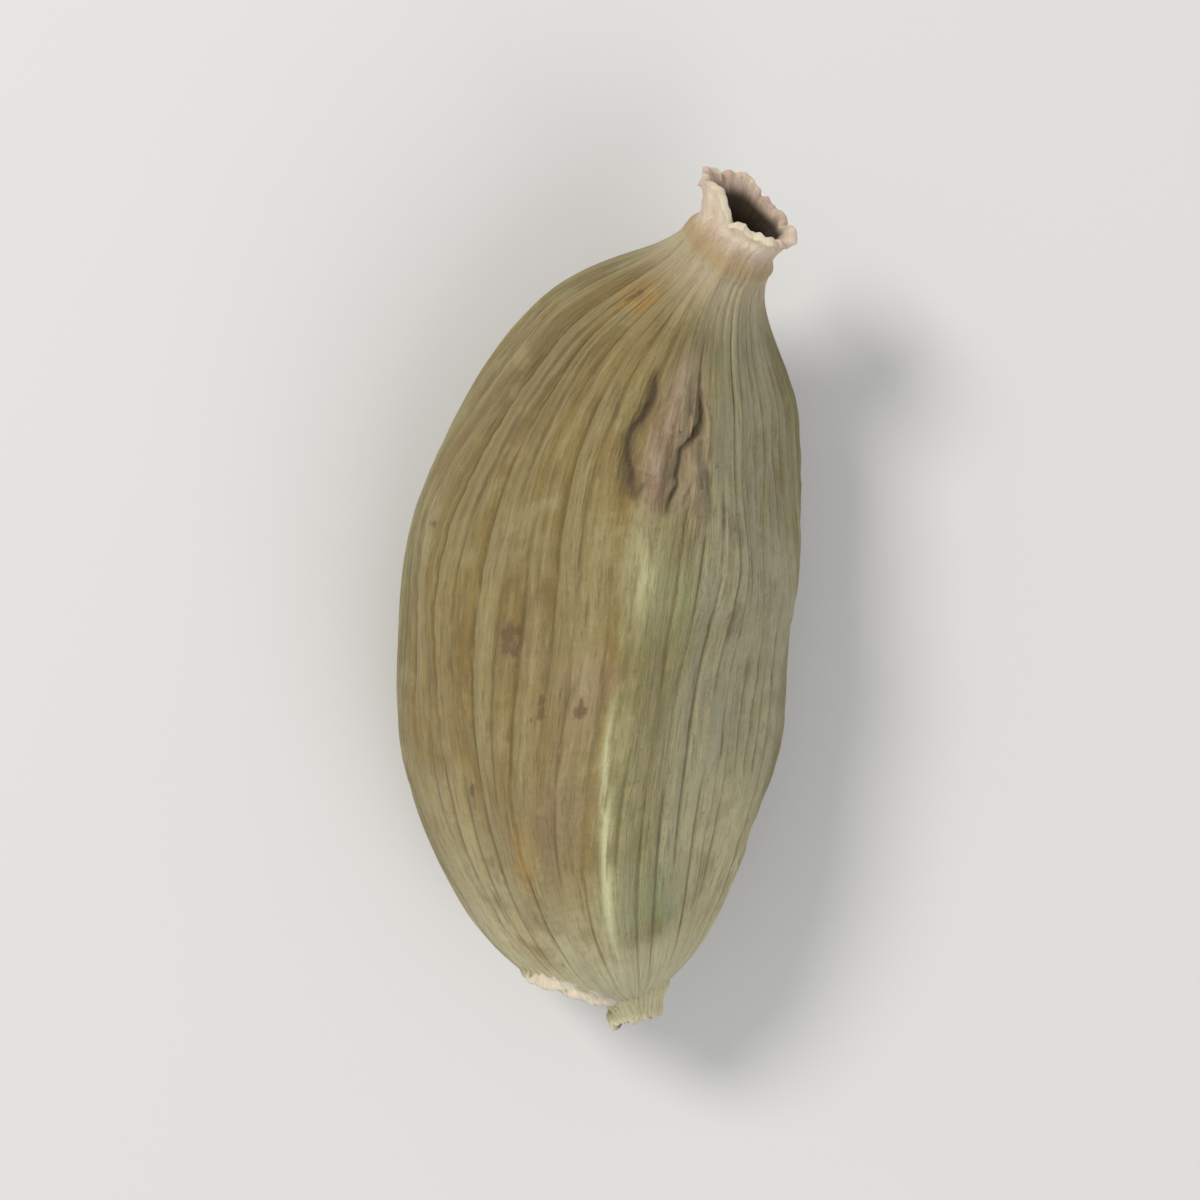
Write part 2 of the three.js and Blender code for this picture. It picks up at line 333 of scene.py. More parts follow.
def tornLip(fromTop, along, shift, width):
    # the ragged pale lip of dead skin along the upper edge of the hollow
    startRib, ribsAlong, _ = podForm["tearEdge"]
    edge = startRib + ribsAlong * along
    length = smoothStep(-0.002, 0.006, along) * smoothStep(0.075, 0.055, along)
    teeth = 0.35 + 0.65 * np.clip(0.55 + 1.2 * patchNoise(0 * along, along, 3, 105, seed=41), 0, 1)
    return hump(fromTop, edge + shift, width) * length * teeth


def scarPlace(fromTop, along):
    # the pinkish, wrinkled strip along the upper half of the top seam
    across = hump(fromTop, -0.6, 1.6)
    frayed = along + 0.025 * np.sin(3.1 * fromTop + 0.8) + 0.015 * np.sin(7.3 * fromTop)
    return across * smoothStep(0.64, 0.76, frayed) * smoothStep(0.97, 0.90, along)


def foldLine(course, width, fromTop, along):
    # 1 on the line of a fold, falling to 0 beside it and at its two ends
    places = [place for place, _ in course]
    line = np.interp(along, places, [foldRib for _, foldRib in course])
    length = smoothStep(places[0] - 0.03, places[0] + 0.02, along)
    length = length * smoothStep(places[-1] + 0.03, places[-1] - 0.02, along)
    return hump(fromTop, line, width) * length


def foldRelief(fromTop, along):
    # the height of the folds, below 0 in them and above 0 on the raised ones
    height = 0
    for depth, width, *course in folds:
        height = height - depth * foldLine(course, width, fromTop, along)
    return height


def crackLines(fromTop, along):
    # sharp wavy lines in the folds and beside them, from 0 to 1
    crackWidth = huskLook["crackWidth"]
    lines = 0
    for depth, _, *course in folds:
        if depth > 0:
            wave = 0.05 * np.sin(61 * along) + 0.03 * np.sin(170 * along)
            lines = lines + 5 * depth * foldLine(course, crackWidth, fromTop + wave, along)
    for crackRib, crackAlong, reach, strength in cracks:
        across = hump(fromTop, crackRib + 0.14 * np.sin(52 * along + 5 * crackRib), crackWidth)
        lines = lines + strength * across * hump(along, crackAlong, reach)
    return np.minimum(1, lines)


def seamRelief(rib, along):
    # the three raised seams, each a thin line on a broad keel
    fromSeam = rib - ribsPerFace * np.round(rib / ribsPerFace)
    fade = smoothStep(0.02, 0.16, along) * (1 - 0.6 * smoothStep(0.85, 1, along))
    line = huskLook["seamHeight"] * hump(fromSeam, 0, 0.5)
    return (line + huskLook["keelHeight"] * hump(fromSeam, 0, 2.2)) * fade


def seedRelief(rib, along):
    # low lumps where the seeds press from inside
    turn = rib * ribTurn
    lumps = huskLook["seedLumps"] * hump(along, 0.5, 0.42)
    return lumps * np.sin(20 * along + 1.7 * np.sin(3 * turn)) * np.sin(3 * turn + 0.5)


def fineRelief(rib, along):
    # finer than the solid: fibres, grain, cross wrinkles, scar wrinkles, dents and a slow sway;
    # its height, and what it adds to the paleness of a crest
    look = huskLook
    around = rib / ribCount
    fibre = np.abs(np.sin(look["fibresPerRib"] * math.pi * ribParts(rib)[1])) - 0.5
    fibre = fibre * (0.6 + 0.4 * patchNoise(around, along, ribCount, 9, seed=11))
    waved = along + 0.03 * patchNoise(around, along, 2 * ribCount, 4, seed=20)
    grain = 0.6 * patchNoise(around, waved, 3 * ribCount, 16, seed=12)
    grain = grain + 0.4 * patchNoise(around, waved, 4 * ribCount, 34, seed=13)
    puckerPlace = smoothStep(0.0, 0.8, patchNoise(around, along, 12, 9, seed=14))
    pucker = patchNoise(around, along, ribCount, 84, seed=15) * puckerPlace
    dent = np.minimum(0, patchNoise(around, along, 22, 11, seed=16) + 0.3)
    sway = patchNoise(around, along, 7, 6, seed=17)
    wrinkle = smoothStep(0.32, 0, np.abs(patchNoise(around, along, 2 * ribCount, 26, seed=18))) - 0.4
    wrinkle = wrinkle * scarPlace(fromTopSeam(rib), along)
    height = look["fibreHeight"] * fibre + look["grainHeight"] * grain + look["puckerHeight"] * pucker
    height = height + look["dentDepth"] * dent + look["swayHeight"] * sway + look["scarHeight"] * wrinkle
    return height, 0.22 * fibre + 0.14 * grain + 0.6 * wrinkle


def huskRelief(rib, along, radius):
    # height above the smooth section, and how much of a rib's crest a place is
    look = huskLook
    line, acrossRib = ribParts(rib)
    ribIndex = line % ribCount
    arch = ribArch(ribIndex, acrossRib, along)
    # some valleys fill up for a stretch
    filled = smoothStep(0.1, -0.7, patchNoise(rib / ribCount, along, ribCount, 8, seed=19))
    arch = mix(arch, 1, look["valleyFill"] * filled)
    strength = ribStrength(ribIndex, along)
    ribs = look["ribHeight"] * (arch * strength - 0.55)

    fromTop = fromTopSeam(rib)
    fold = foldRelief(fromTop, along)
    fine, fineCrest = fineRelief(rib, along)
    fine = fine + fold - look["crackDepth"] * crackLines(fromTop, along)
    thinning = np.minimum(1, radius / look["fullRadius"])
    height = (ribs + fine) * thinning + seamRelief(rib, along) + seedRelief(rib, along)
    height = height - podForm["tearDepth"] * hollowShare(fromTop, along)
    height = height + look["tornHeight"] * tornLip(fromTop, along, *look["tornLine"])
    crest = arch * mix(0.45, 1, np.clip(strength, 0, 1)) + fineCrest + 1.5 * fold
    return height, crest


def huskReach(rib, along):
    # distance from the centre line to the skin, its squash, and how much of a rib's crest it is
    form = podForm
    radius = swell(along)
    flatness = form["faceFlatness"] + form["shoulderFlatness"] * smoothStep(0.6, 0.85, along)
    flatness = flatness * (1 - 0.7 * smoothStep(0.9, 1, along))
    threeSided = 1 + flatness * np.cos(2 * math.pi * rib / ribsPerFace)
    height, crest = huskRelief(rib, along, radius)
    squash = mix(1, form["squash"], smoothStep(0.8, 2.4, radius))
    return radius * threeSided + height, squash, crest


def huskSkin(rib, along):
    # the husk's points, pressed flat where it rests
    centre, _, side, up = sectionAt(along)
    reach, squash, crest = huskReach(rib, along)
    angle = ribAngle(rib, along)
    point = centre + side * (reach * np.cos(angle))[..., None]
    point = point + up * (reach * np.sin(angle) * squash)[..., None]
    point[..., 2] = np.maximum(0, point[..., 2])
    return point, crest


def ringMesh(name, points, startPoint, endPoint):
    # points[row, column] is a tube of rings; the two end points close it
    rows, columns = points.shape[:2]
    row, column = np.meshgrid(np.arange(rows - 1), np.arange(columns), indexing="ij")
    nextColumn = (column + 1) % columns
    quads = np.stack([
        row * columns + column,
        row * columns + nextColumn,
        (row + 1) * columns + nextColumn,
        (row + 1) * columns + column,
    ], axis=-1).reshape(-1, 4)
    start = rows * columns
    lastRing = start - columns
    ring = np.arange(columns)
    ringNext = (ring + 1) % columns
    startFan = np.stack([np.full(columns, start), ringNext, ring], axis=-1)
    endFan = np.stack([np.full(columns, start + 1), lastRing + ring, lastRing + ringNext], axis=-1)
    corners = np.concatenate([points.reshape(-1, 3), [startPoint, endPoint]])
    mesh = bpy.data.meshes.new(name)
    mesh.from_pydata((corners * mm).tolist(), [], quads.tolist() + startFan.tolist() + endFan.tolist())
    mesh.validate()
    mesh.polygons.foreach_set("use_smooth", [True] * len(mesh.polygons))
    mesh.update()
    piece = bpy.data.objects.new(name, mesh)
    bpy.context.scene.collection.objects.link(piece)
    return piece


def paintValues(piece, name, values):
    # one value for each ring point; the two end points take the first and the last one
    flat = np.ravel(values)
    flat = np.concatenate([flat, flat[[0, -1]]])
    layer = piece.data.attributes.new(name, "FLOAT", "POINT")
    layer.data.foreach_set("value", flat.astype(np.float32))


def paintVectors(piece, name, vectors):
    flat = vectors.reshape(-1, 3)
    flat = np.concatenate([flat, flat[[0, -1]]])
    layer = piece.data.attributes.new(name, "FLOAT_VECTOR", "POINT")
    layer.data.foreach_set("vector", flat.astype(np.float32).ravel())


def settle(piece, node):
    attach(piece, "root")
    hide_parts(node)


# node helpers for the finishes
def newFinish(name):
    finish = bpy.data.materials.new(name)
    finish.use_nodes = True
    finish.node_tree.nodes.clear()
    return finish


def fillSocket(finish, socket, value):
    if isinstance(value, bpy.types.NodeSocket):
        finish.node_tree.links.new(value, socket)
    elif isinstance(value, tuple) and len(value) == 3 and socket.type == "RGBA":
        socket.default_value = (*value, 1.0)
    else:
        socket.default_value = value


def addNode(finish, kind, inputs=None, **settings):
    node = finish.node_tree.nodes.new(kind)
    for key, value in settings.items():
        setattr(node, key, value)
    for key, value in (inputs or {}).items():
        fillSocket(finish, node.inputs[key], value)
    return node


def readLayer(finish, name, vector=False):
    node = addNode(finish, "ShaderNodeAttribute", attribute_name=name)
    return node.outputs["Vector" if vector else "Fac"]


def objectPlace(finish):
    # turned, so that no noise lies square to the object
    place = addNode(finish, "ShaderNodeTexCoord").outputs["Object"]
    inputs = {"Vector": place, "Rotation": (0.6, 0.9, 0.4)}
    return addNode(finish, "ShaderNodeMapping", inputs).outputs["Vector"]


def noiseOf(finish, vector, scale, detail=3.0, roughness=0.55, twist=0.0):
    inputs = {
        "Vector": vector, "Scale": scale, "Detail": detail, "Roughness": roughness, "Distortion": twist,
    }
    return addNode(finish, "ShaderNodeTexNoise", inputs).outputs["Fac"]


def stretch(finish, vector, scale):
    return addNode(finish, "ShaderNodeMapping", {"Vector": vector, "Scale": scale}).outputs["Vector"]


def ramp(finish, value, low, high, fromValue=0.0, toValue=1.0):
    inputs = {"Value": value, "From Min": low, "From Max": high, "To Min": fromValue, "To Max": toValue}
    node = addNode(finish, "ShaderNodeMapRange", inputs, interpolation_type="SMOOTHSTEP")
    return node.outputs["Result"]


def maths(finish, operation, a, b):
    node = addNode(finish, "ShaderNodeMath", operation=operation)
    fillSocket(finish, node.inputs[0], a)
    fillSocket(finish, node.inputs[1], b)
    return node.outputs["Value"]


def times(finish, a, b):
    return maths(finish, "MULTIPLY", a, b)


def plus(finish, a, b):
    return maths(finish, "ADD", a, b)


def centred(finish, value, size):
    # noise from 0 to 1 turned into shifts about 0
    return times(finish, maths(finish, "SUBTRACT", value, 0.5), size)


def blendColour(finish, share, a, b):
    node = addNode(finish, "ShaderNodeMix", data_type="RGBA", clamp_factor=True)
    sockets = [socket for socket in node.inputs if socket.enabled]
    for socket, value in zip(sockets, (share, a, b)):
        fillSocket(finish, socket, value)
    return [socket for socket in node.outputs if socket.enabled][0]


def tinted(finish, colour, tone, value, low, high, most=1.0):
    # a tone laid over a colour: none of it where the value is at low, the most of it at high
    return blendColour(finish, ramp(finish, value, low, high, 0.0, most), colour, tone)


def bumpNormal(finish, height, strength, distance):
    inputs = {"Strength": strength, "Distance": distance, "Height": height}
    return addNode(finish, "ShaderNodeBump", inputs).outputs["Normal"]


def closeFinish(finish, colour, roughness, normal, settings):
    inputs = {"Base Color": colour, "Roughness": roughness, **settings}
    if normal:
        inputs["Normal"] = normal
    shader = addNode(finish, "ShaderNodeBsdfPrincipled", inputs)
    output = addNode(finish, "ShaderNodeOutputMaterial")
    finish.node_tree.links.new(shader.outputs["BSDF"], output.inputs["Surface"])
    return finish


def huskTones(finish, look, patches, mottle):
    # body colour from the slow fields, their borders broken up by patches; the field of light is painted
    # light, and the field of umber is painted shade
    ragged = plus(finish, centred(finish, patches, 0.8), centred(finish, mottle, 0.7))
    colour = look["olive"]
    for name in ("gold", "green", "grey", "umber", "light", "orange", "pink"):
        field = plus(finish, readLayer(finish, name + "Field"), ragged)
        colour = tinted(finish, colour, look[name], field, 0.25, 0.85)
    return colour


def huskRibTones(finish, look, colour, crest, threads, fineThreads):
    # each rib has its own tone; valleys are darker, partly their own colour and partly painted shade, and
    # crests are paler and streaky, partly their own colour and partly a painted highlight
    colour = tinted(finish, colour, look["pale"], readLayer(finish, "ribTone"), 0.35, 1.0, 0.3)
    colour = tinted(finish, colour, look["valley"], crest, 0.5, 0.0, 0.55)
    crestShare = times(finish, ramp(finish, crest, 0.55, 0.95), ramp(finish, threads, 0.4, 0.62))
    colour = blendColour(finish, times(finish, crestShare, 0.4), colour, look["pale"])
    colour = tinted(finish, colour, look["pale"], fineThreads, 0.52, 0.72, 0.35)
    colour = tinted(finish, colour, look["valley"], fineThreads, 0.47, 0.28, 0.45)
    return tinted(finish, colour, look["valley"], threads, 0.42, 0.28, 0.45)


def huskMarks(finish, look, colour, threads, cloud, blots, grit):
    # the pale line beside the top seam, brown marks, stains and specks
    broken = ramp(finish, threads, 0.36, 0.52, 0.25, 1.0)
    seamShare = times(finish, readLayer(finish, "seamLine"), broken)
    colour = blendColour(finish, seamShare, colour, look["seam"])
    streaky = ramp(finish, threads, 0.62, 0.42)
    stainShare = times(finish, ramp(finish, cloud, 0.60, 0.72, 0.0, 0.45), streaky)
    colour = blendColour(finish, stainShare, colour, look["stain"])
    mark = readLayer(finish, "mark")
    markEdge = plus(finish, plus(finish, mark, centred(finish, blots, 2.8)), centred(finish, threads, 1.8))
    markShare = times(finish, ramp(finish, markEdge, 0.45, 0.85), ramp(finish, mark, 0.08, 0.35, 0.0, 0.75))
    colour = blendColour(finish, markShare, colour, look["stain"])
    return tinted(finish, colour, look["stain"], grit, 0.66, 0.76, 0.4)


def huskFoldShading(finish, look, colour, threads):
    # raised folds are painted paler as a painted highlight, deep ones darker as painted shade, and cracks are
    # darkest as painted shade
    foldEdge = plus(finish, readLayer(finish, "fold"), centred(finish, threads, 1.5))
    colour = tinted(finish, colour, look["foldHighlight"], foldEdge, 0.15, 0.9, 0.75)
    colour = tinted(finish, colour, look["foldShade"], foldEdge, -0.2, -1.3, 0.6)
    crackEdge = plus(finish, readLayer(finish, "crackLine"), centred(finish, threads, 0.5))
    return tinted(finish, colour, look["crack"], crackEdge, 0.2, 0.75, 0.85)


def huskEnds(finish, look, colour, threads, blots):
    # the pale dry ends, the tip at the stalk end painted lighter as painted light, the torn hollow and its
    # cream lip
    dryThreads = ramp(finish, threads, 0.25, 0.5, 0.5, 1.0)
    for layer, tone in (("strawEnds", "straw"), ("paintedTipLight", "tip")):
        share = times(finish, readLayer(finish, layer), dryThreads)
        colour = blendColour(finish, share, colour, look[tone])
    hollow = readLayer(finish, "hollow")
    raggedHollow = plus(finish, centred(finish, threads, 1.6), centred(finish, blots, 1.2))
    hollowEdge = plus(finish, hollow, raggedHollow)
    hollowShade = times(finish, ramp(finish, hollowEdge, 0.35, 1.1, 0.0, 0.9), ramp(finish, hollow, 0.1, 0.6))
    colour = blendColour(finish, hollowShade, colour, look["hollow"])
    rim = readLayer(finish, "tornRim")
    raggedRim = plus(finish, centred(finish, threads, 1.8), centred(finish, blots, 1.2))
    rimEdge = plus(finish, rim, raggedRim)
    rimShare = times(finish, ramp(finish, rimEdge, 0.3, 0.6), ramp(finish, rim, 0.05, 0.3))
    return blendColour(finish, rimShare, colour, look["cream"])


def makeHuskFinish():
    look = huskLook
    finish = newFinish("dryHusk")
    flow = readLayer(finish, "flow", vector=True)
    crest = readLayer(finish, "crest")
    place = objectPlace(finish)

    threads = noiseOf(finish, flow, scale=24.0, detail=4.0, roughness=0.6)
    fineThreads = noiseOf(finish, flow, scale=62.0, detail=3.0, roughness=0.6)
    crosswise = stretch(finish, flow, (0.3, 0.3, 11.0))
    wrinkles = noiseOf(finish, crosswise, scale=24.0, detail=2.0, roughness=0.5)
    cloud = noiseOf(finish, place, scale=620.0, detail=4.0, roughness=0.6, twist=0.3)
    patches = noiseOf(finish, place, scale=330.0, detail=4.0, roughness=0.55, twist=0.3)
    mottle = noiseOf(finish, place, scale=1300.0, detail=3.0, roughness=0.5, twist=0.35)
    blots = noiseOf(finish, place, scale=3400.0, detail=3.0, roughness=0.5)
    grit = noiseOf(finish, place, scale=5200.0, detail=3.0, roughness=0.6)

    colour = huskTones(finish, look, patches, mottle)
    mottleShare = times(finish, ramp(finish, mottle, 0.50, 0.64, 0.0, 0.5), readLayer(finish, "mottled"))
    colour = blendColour(finish, mottleShare, colour, look["umber"])
    colour = tinted(finish, colour, look["pale"], mottle, 0.46, 0.34, 0.3)
    colour = tinted(finish, colour, look["pale"], cloud, 0.50, 0.68, 0.25)
    colour = tinted(finish, colour, look["umber"], cloud, 0.48, 0.32, 0.50)
    colour = huskRibTones(finish, look, colour, crest, threads, fineThreads)
    colour = huskMarks(finish, look, colour, threads, cloud, blots, grit)
    colour = huskFoldShading(finish, look, colour, threads)
    colour = huskEnds(finish, look, colour, threads, blots)

    roughness = ramp(finish, crest, 0.3, 0.9, 0.85, 0.62)
    bumpHeight = plus(finish, times(finish, threads, 0.8), fineThreads)
    bumpHeight = plus(finish, bumpHeight, times(finish, wrinkles, 0.5))
    bumpHeight = plus(finish, bumpHeight, times(finish, grit, 0.3))
    normal = bumpNormal(finish, bumpHeight, strength=0.8, distance=0.00007)
    return closeFinish(finish, colour, roughness, normal, {
        "Specular IOR Level": 0.35, "Sheen Weight": 0.1, "Sheen Roughness": 0.5,
    })


# patches of colour: the colour, its strength, then ribs from the top seam with the width in ribs, and
# place along the husk with the reach along it
colourPatches = [
    ("gold", 0.3, 5, 3, 0.22, 0.12),
    ("green", 0.95, -4.5, 3.6, 0.14, 0.14),
    ("green", 0.55, 13, 2.5, 0.42, 0.3),
    ("green", 0.5, -17, 4, 0.55, 0.3),
    ("green", 0.7, -1.2, 1.5, 0.57, 0.1),
    ("green", 0.6, -0.5, 1.5, 0.13, 0.05),
    ("grey", 0.4, 16, 3, 0.3, 0.2),
    ("orange", 0.9, 5.8, 3.2, 0.935, 0.035),
    ("orange", 0.5, 6.5, 2.5, 0.10, 0.07),
    ("orange", 0.5, 4.0, 1.2, 0.22, 0.07),
    ("pink", 0.55, 2.2, 1.6, 0.26, 0.16),
    ("pink", 0.6, 4, 1.6, 0.47, 0.05),
    ("pink", 0.55, 1.4, 0.9, 0.44, 0.07),
    # painted shade: darker patches high on the left face
    ("umber", 0.75, 8, 5, 0.80, 0.13),
    ("umber", 0.45, 4, 4, 0.62, 0.1),
    # painted light: paler patches low on both faces
    ("light", 0.4, 8, 4, 0.27, 0.12),
    ("light", 0.3, -6, 3.5, 0.27, 0.12),
]


def colourFields(fromTop, along):
    # how much of each colour a place has, from 0 to 1: first what reaches along the husk, then the patches
    left = smoothStep(0.1, 1.0, fromTop) * smoothStep(20, 15, fromTop)
    gold = left * (0.95 - 0.5 * smoothStep(8, 13, fromTop)) + 0.25 * hump(fromTop, 20, 5)
    greenTip = hump(fromTop, -2.6, 3.0) * hump(along, 0.14, 0.07)
    # painted light: paler towards the stalk end
    light = 0.95 * smoothStep(0.30, 0.02, along) * (1 - 0.9 * greenTip)
    fields = {
        "gold": gold * (1 - 0.25 * hump(along, 0.6, 0.09)),
        "green": 0,
        "grey": 0.8 * hump(fromTop, -9, 4.5) * smoothStep(0.02, 0.3, along) + 0.5 * hump(fromTop, -3.5, 2.5),
        "orange": 0,
        "pink": 0.95 * scarPlace(fromTop, along),
        "umber": 0,
        # painted light: paler low on the right face too
        "light": light + 0.55 * hump(fromTop, -8, 5) * smoothStep(0.5, 0.15, along),
    }
    for name, strength, patchRib, width, patchAlong, reach in colourPatches:
        patch = strength * hump(fromTop, patchRib, width) * hump(along, patchAlong, reach)
        fields[name] = fields[name] + patch
    return fields


def seamLight(fromTop, along):
    # the pale green line beside the top seam: thin and clear in the lower third, wider and faint above
    lower = smoothStep(0.02, 0.14, along) * smoothStep(0.44, 0.34, along)
    away = fromTop - mix(0.25, 0.65, smoothStep(0.15, 0.42, along))
    line = 0.8 * hump(away, 0, 0.13) + 0.12 * hump(away, -0.3, 0.7)
    return line * lower + 0.5 * hump(fromTop, 0.15, 0.40) * hump(along, 0.60, 0.065)


def huskLayers(rib, along, crest):
    # what the finish reads at each point of the husk
    ribIndex = ribParts(rib)[0] % ribCount
    fromTop = fromTopSeam(rib)
    mark = 0
    for markRib, markAlong, width, reach, strength in marks:
        mark = mark + strength * hump(fromTop, markRib, width) * hump(along, markAlong, reach)
    toneWave = 0.25 * np.sin(9 * along + 2 * math.pi * chance(ribIndex, "tonePhase"))
    leftFace = smoothStep(-0.5, 1.5, fromTop) * smoothStep(21, 14, fromTop)
    layers = {
        "crest": crest,
        "ribTone": chance(ribIndex, "tone") + toneWave,
        "seamLine": seamLight(fromTop, along),
        "mottled": mix(0.55, 1.0, leftFace),
        # what the folds' painted highlight and painted shade, and the cracks' painted shade, follow
        "fold": 7 * foldRelief(fromTop, along),
        "crackLine": crackLines(fromTop, along),
        "mark": mark,
        "strawEnds": smoothStep(0.93, 1.0, along),
        # painted light: the tip of the stalk end lighter
        "paintedTipLight": 0.75 * smoothStep(0.10, 0.0, along),
        "tornRim": tornLip(fromTop, along, *huskLook["tornPaint"]),
        "hollow": hollowShare(fromTop, along),
    }
    for name, field in colourFields(fromTop, along).items():
        layers[name + "Field"] = field
    return layers


def makeHusk():
    look = huskLook
    columns = ribCount * look["columnsPerRib"]
    share = np.linspace(0, 1, look["rows"])
    # rows a little closer together at the two ends
    along = mix(share, (1 - np.cos(math.pi * share)) / 2, 0.55)
    rib = np.arange(columns)[::-1] / look["columnsPerRib"]
    rib, along = np.meshgrid(rib, along)
    points, crest = huskSkin(rib, along)
    piece = ringMesh("pod_husk", points, centreLine(0.0), centreLine(1.0))

    turn = rib * ribTurn
    flow = np.stack([np.cos(turn), np.sin(turn), along * look["threadStretch"]], axis=-1)
    paintVectors(piece, "flow", flow)
    for name, values in huskLayers(rib, along, crest).items():
        paintValues(piece, name, values)
    piece.data.materials.append(makeHuskFinish())
    settle(piece, "husk")


# what a user would change on the flower tube; lengths in millimetres
tubeLook = {
    "columnsPerRib": 6,
    "length": 0.95,
    "rootRadius": 0.78,
    "waistRadius": 0.68,
    "rimRadius": 0.92,
    "rimOval": 0.05,
    "lean": 0.13,             # how far the rim leans to the left
    "pleats": 7,
    "pleatDepth": 0.04,
    "wall": 0.21,
    "nearLip": (285, 55),     # place and width in degrees of the bright lip on the near side
    "lipRoll": 0.07,          # how far that lip curls outwards
    "holeDepth": 0.88,
    "sunkRoot": 0.22,         # how far the root reaches back inside the neck
    "rootNarrowing": 0.86,    # its radius in there over that at the neck's end
    "rootStep": 0.012,        # how far it stands out from the neck where it leaves it
    "ribFade": (0.02, 0.42),  # shares of the way up between which the husk's ribs run out
    "tatters": 0.03,          # how ragged the rim is
    "threadStretch": 0.35,    # how far the threads' noise runs up the tube
    "cream": (0.90, 0.77, 0.57),
    "blush": (0.66, 0.48, 0.40),
    "rootTan": (0.48, 0.365, 0.20),
    "vein": (0.42, 0.27, 0.15),
    # inside: painted shade in the tube's hole
    "inside": (0.05, 0.03, 0.015),
}

# torn lobes of the rim: place round the tube and width in degrees, height in millimetres
tubeLobes = [
    (192, 20, 0.02),
    (230, 22, 0.16),
    (296, 30, -0.10),
    (350, 18, -0.16),
    (60, 22, -0.08),
    (105, 26, 0.06),
]

# short splits in the rim between the lobes: place and width in degrees, depth in millimetres
tubeSplits = [
    (208, 4.5, 0.14),
    (268, 4.0, 0.10),
    (326, 4.5, 0.12),
    (24, 5.0, 0.16),
    (82, 4.0, 0.10),
    (140, 5.0, 0.17),
]


def makeTubeFinish():
    look = tubeLook
    finish = newFinish("paperyTube")
    flow = readLayer(finish, "flow", vector=True)
    height = readLayer(finish, "heightShare")
    place = objectPlace(finish)
    threads = noiseOf(finish, flow, scale=20.0, detail=4.0, roughness=0.6)
    fineThreads = noiseOf(finish, flow, scale=55.0, detail=3.0, roughness=0.6)
    cloud = noiseOf(finish, place, scale=1300.0, detail=4.0, roughness=0.55)

    nearSide = readLayer(finish, "nearSide")
    # the near side has less blush and a brighter cream lip: its own pale colour and partly painted light
    blushEdge = maths(finish, "SUBTRACT", cloud, times(finish, nearSide, 0.2))
    colour = tinted(finish, look["cream"], look["blush"], blushEdge, 0.36, 0.58, 0.8)
    rootEdge = plus(finish, height, centred(finish, threads, 0.7))
    colour = tinted(finish, colour, look["rootTan"], rootEdge, 0.62, 0.16)
    colour = tinted(finish, colour, look["vein"], threads, 0.54, 0.70, 0.5)
    # darker in the grooves between the pleats
    colour = tinted(finish, colour, look["vein"], readLayer(finish, "pleat"), 0.35, 0.0, 0.3)
    colour = tinted(finish, colour, look["vein"], fineThreads, 0.58, 0.74, 0.45)
    # the near lip's cream: its own pale colour, brightened further as painted light
    lipShare = times(finish, nearSide, ramp(finish, cloud, 0.3, 0.55, 0.65, 1.0))
    colour = blendColour(finish, lipShare, colour, look["cream"])
    colour = tinted(finish, colour, huskLook["straw"], height, 0.12, -0.1)
    # painted shade inside the tube, darker further down
    colour = blendColour(finish, readLayer(finish, "insideShade"), colour, look["inside"])
    bumpHeight = plus(finish, fineThreads, times(finish, threads, 1.2))
    normal = bumpNormal(finish, bumpHeight, strength=0.6, distance=0.00005)
    roughness = ramp(finish, threads, 0.3, 0.7, 0.7, 0.88)
    return closeFinish(finish, colour, roughness, normal, {
        "Specular IOR Level": 0.3, "Sheen Weight": 0.1,
        "Subsurface Weight": 0.12, "Subsurface Scale": 0.0004,
    })


def tubeRadius(share):
    # narrow at the waist and flared to the rim; share is 0 at the root and 1 at the rim
    look = tubeLook
    root = (look["rootRadius"] - look["waistRadius"]) * (1 - np.clip(share, 0, 1)) ** 4
    flare = (look["rimRadius"] - look["waistRadius"]) * np.clip(share, 0, 1) ** 2.2
    return look["waistRadius"] + root + flare


def rimHeight(angle, share):
    # how far the torn rim rises or dips at one angle, and how little of it is left further down
    look = tubeLook
    turnShare = angle / (2 * math.pi)
    lobes = 0
    for place, width, height in tubeLobes:
        lobes = lobes + height * humpRound(angle, place, width)
    tatters = patchNoise(turnShare, 0 * share, 38, 1, seed=21)
    tatters = tatters + 0.6 * patchNoise(turnShare, 0 * share, 84, 1, seed=22)
    splits = 0
    for place, width, depth in tubeSplits:
        splits = splits + depth * humpRound(angle, place, width)
    rim = np.clip(share, 0, 1)
    return lobes * rim ** 3 + (look["tatters"] * tatters - splits) * rim ** 12


def pleatWave(around):
    return np.sin(tubeLook["pleats"] * around + 0.8)


def tubePleats(around, share, rim):
    # the tube's radius over its smooth one: pleats, then creases and dents of three sizes
    turnShare = around / (2 * math.pi)
    pleats = 1 + tubeLook["pleatDepth"] * pleatWave(around) * np.minimum(1, 2 * rim)
    pleats = pleats + 0.022 * patchNoise(turnShare, share, 52, 3, seed=23)
    pleats = pleats + 0.014 * patchNoise(turnShare, share, 96, 6, seed=24)
    return pleats + 0.035 * patchNoise(turnShare, share, 11, 5, seed=25) * smoothStep(0.15, 0.6, share)


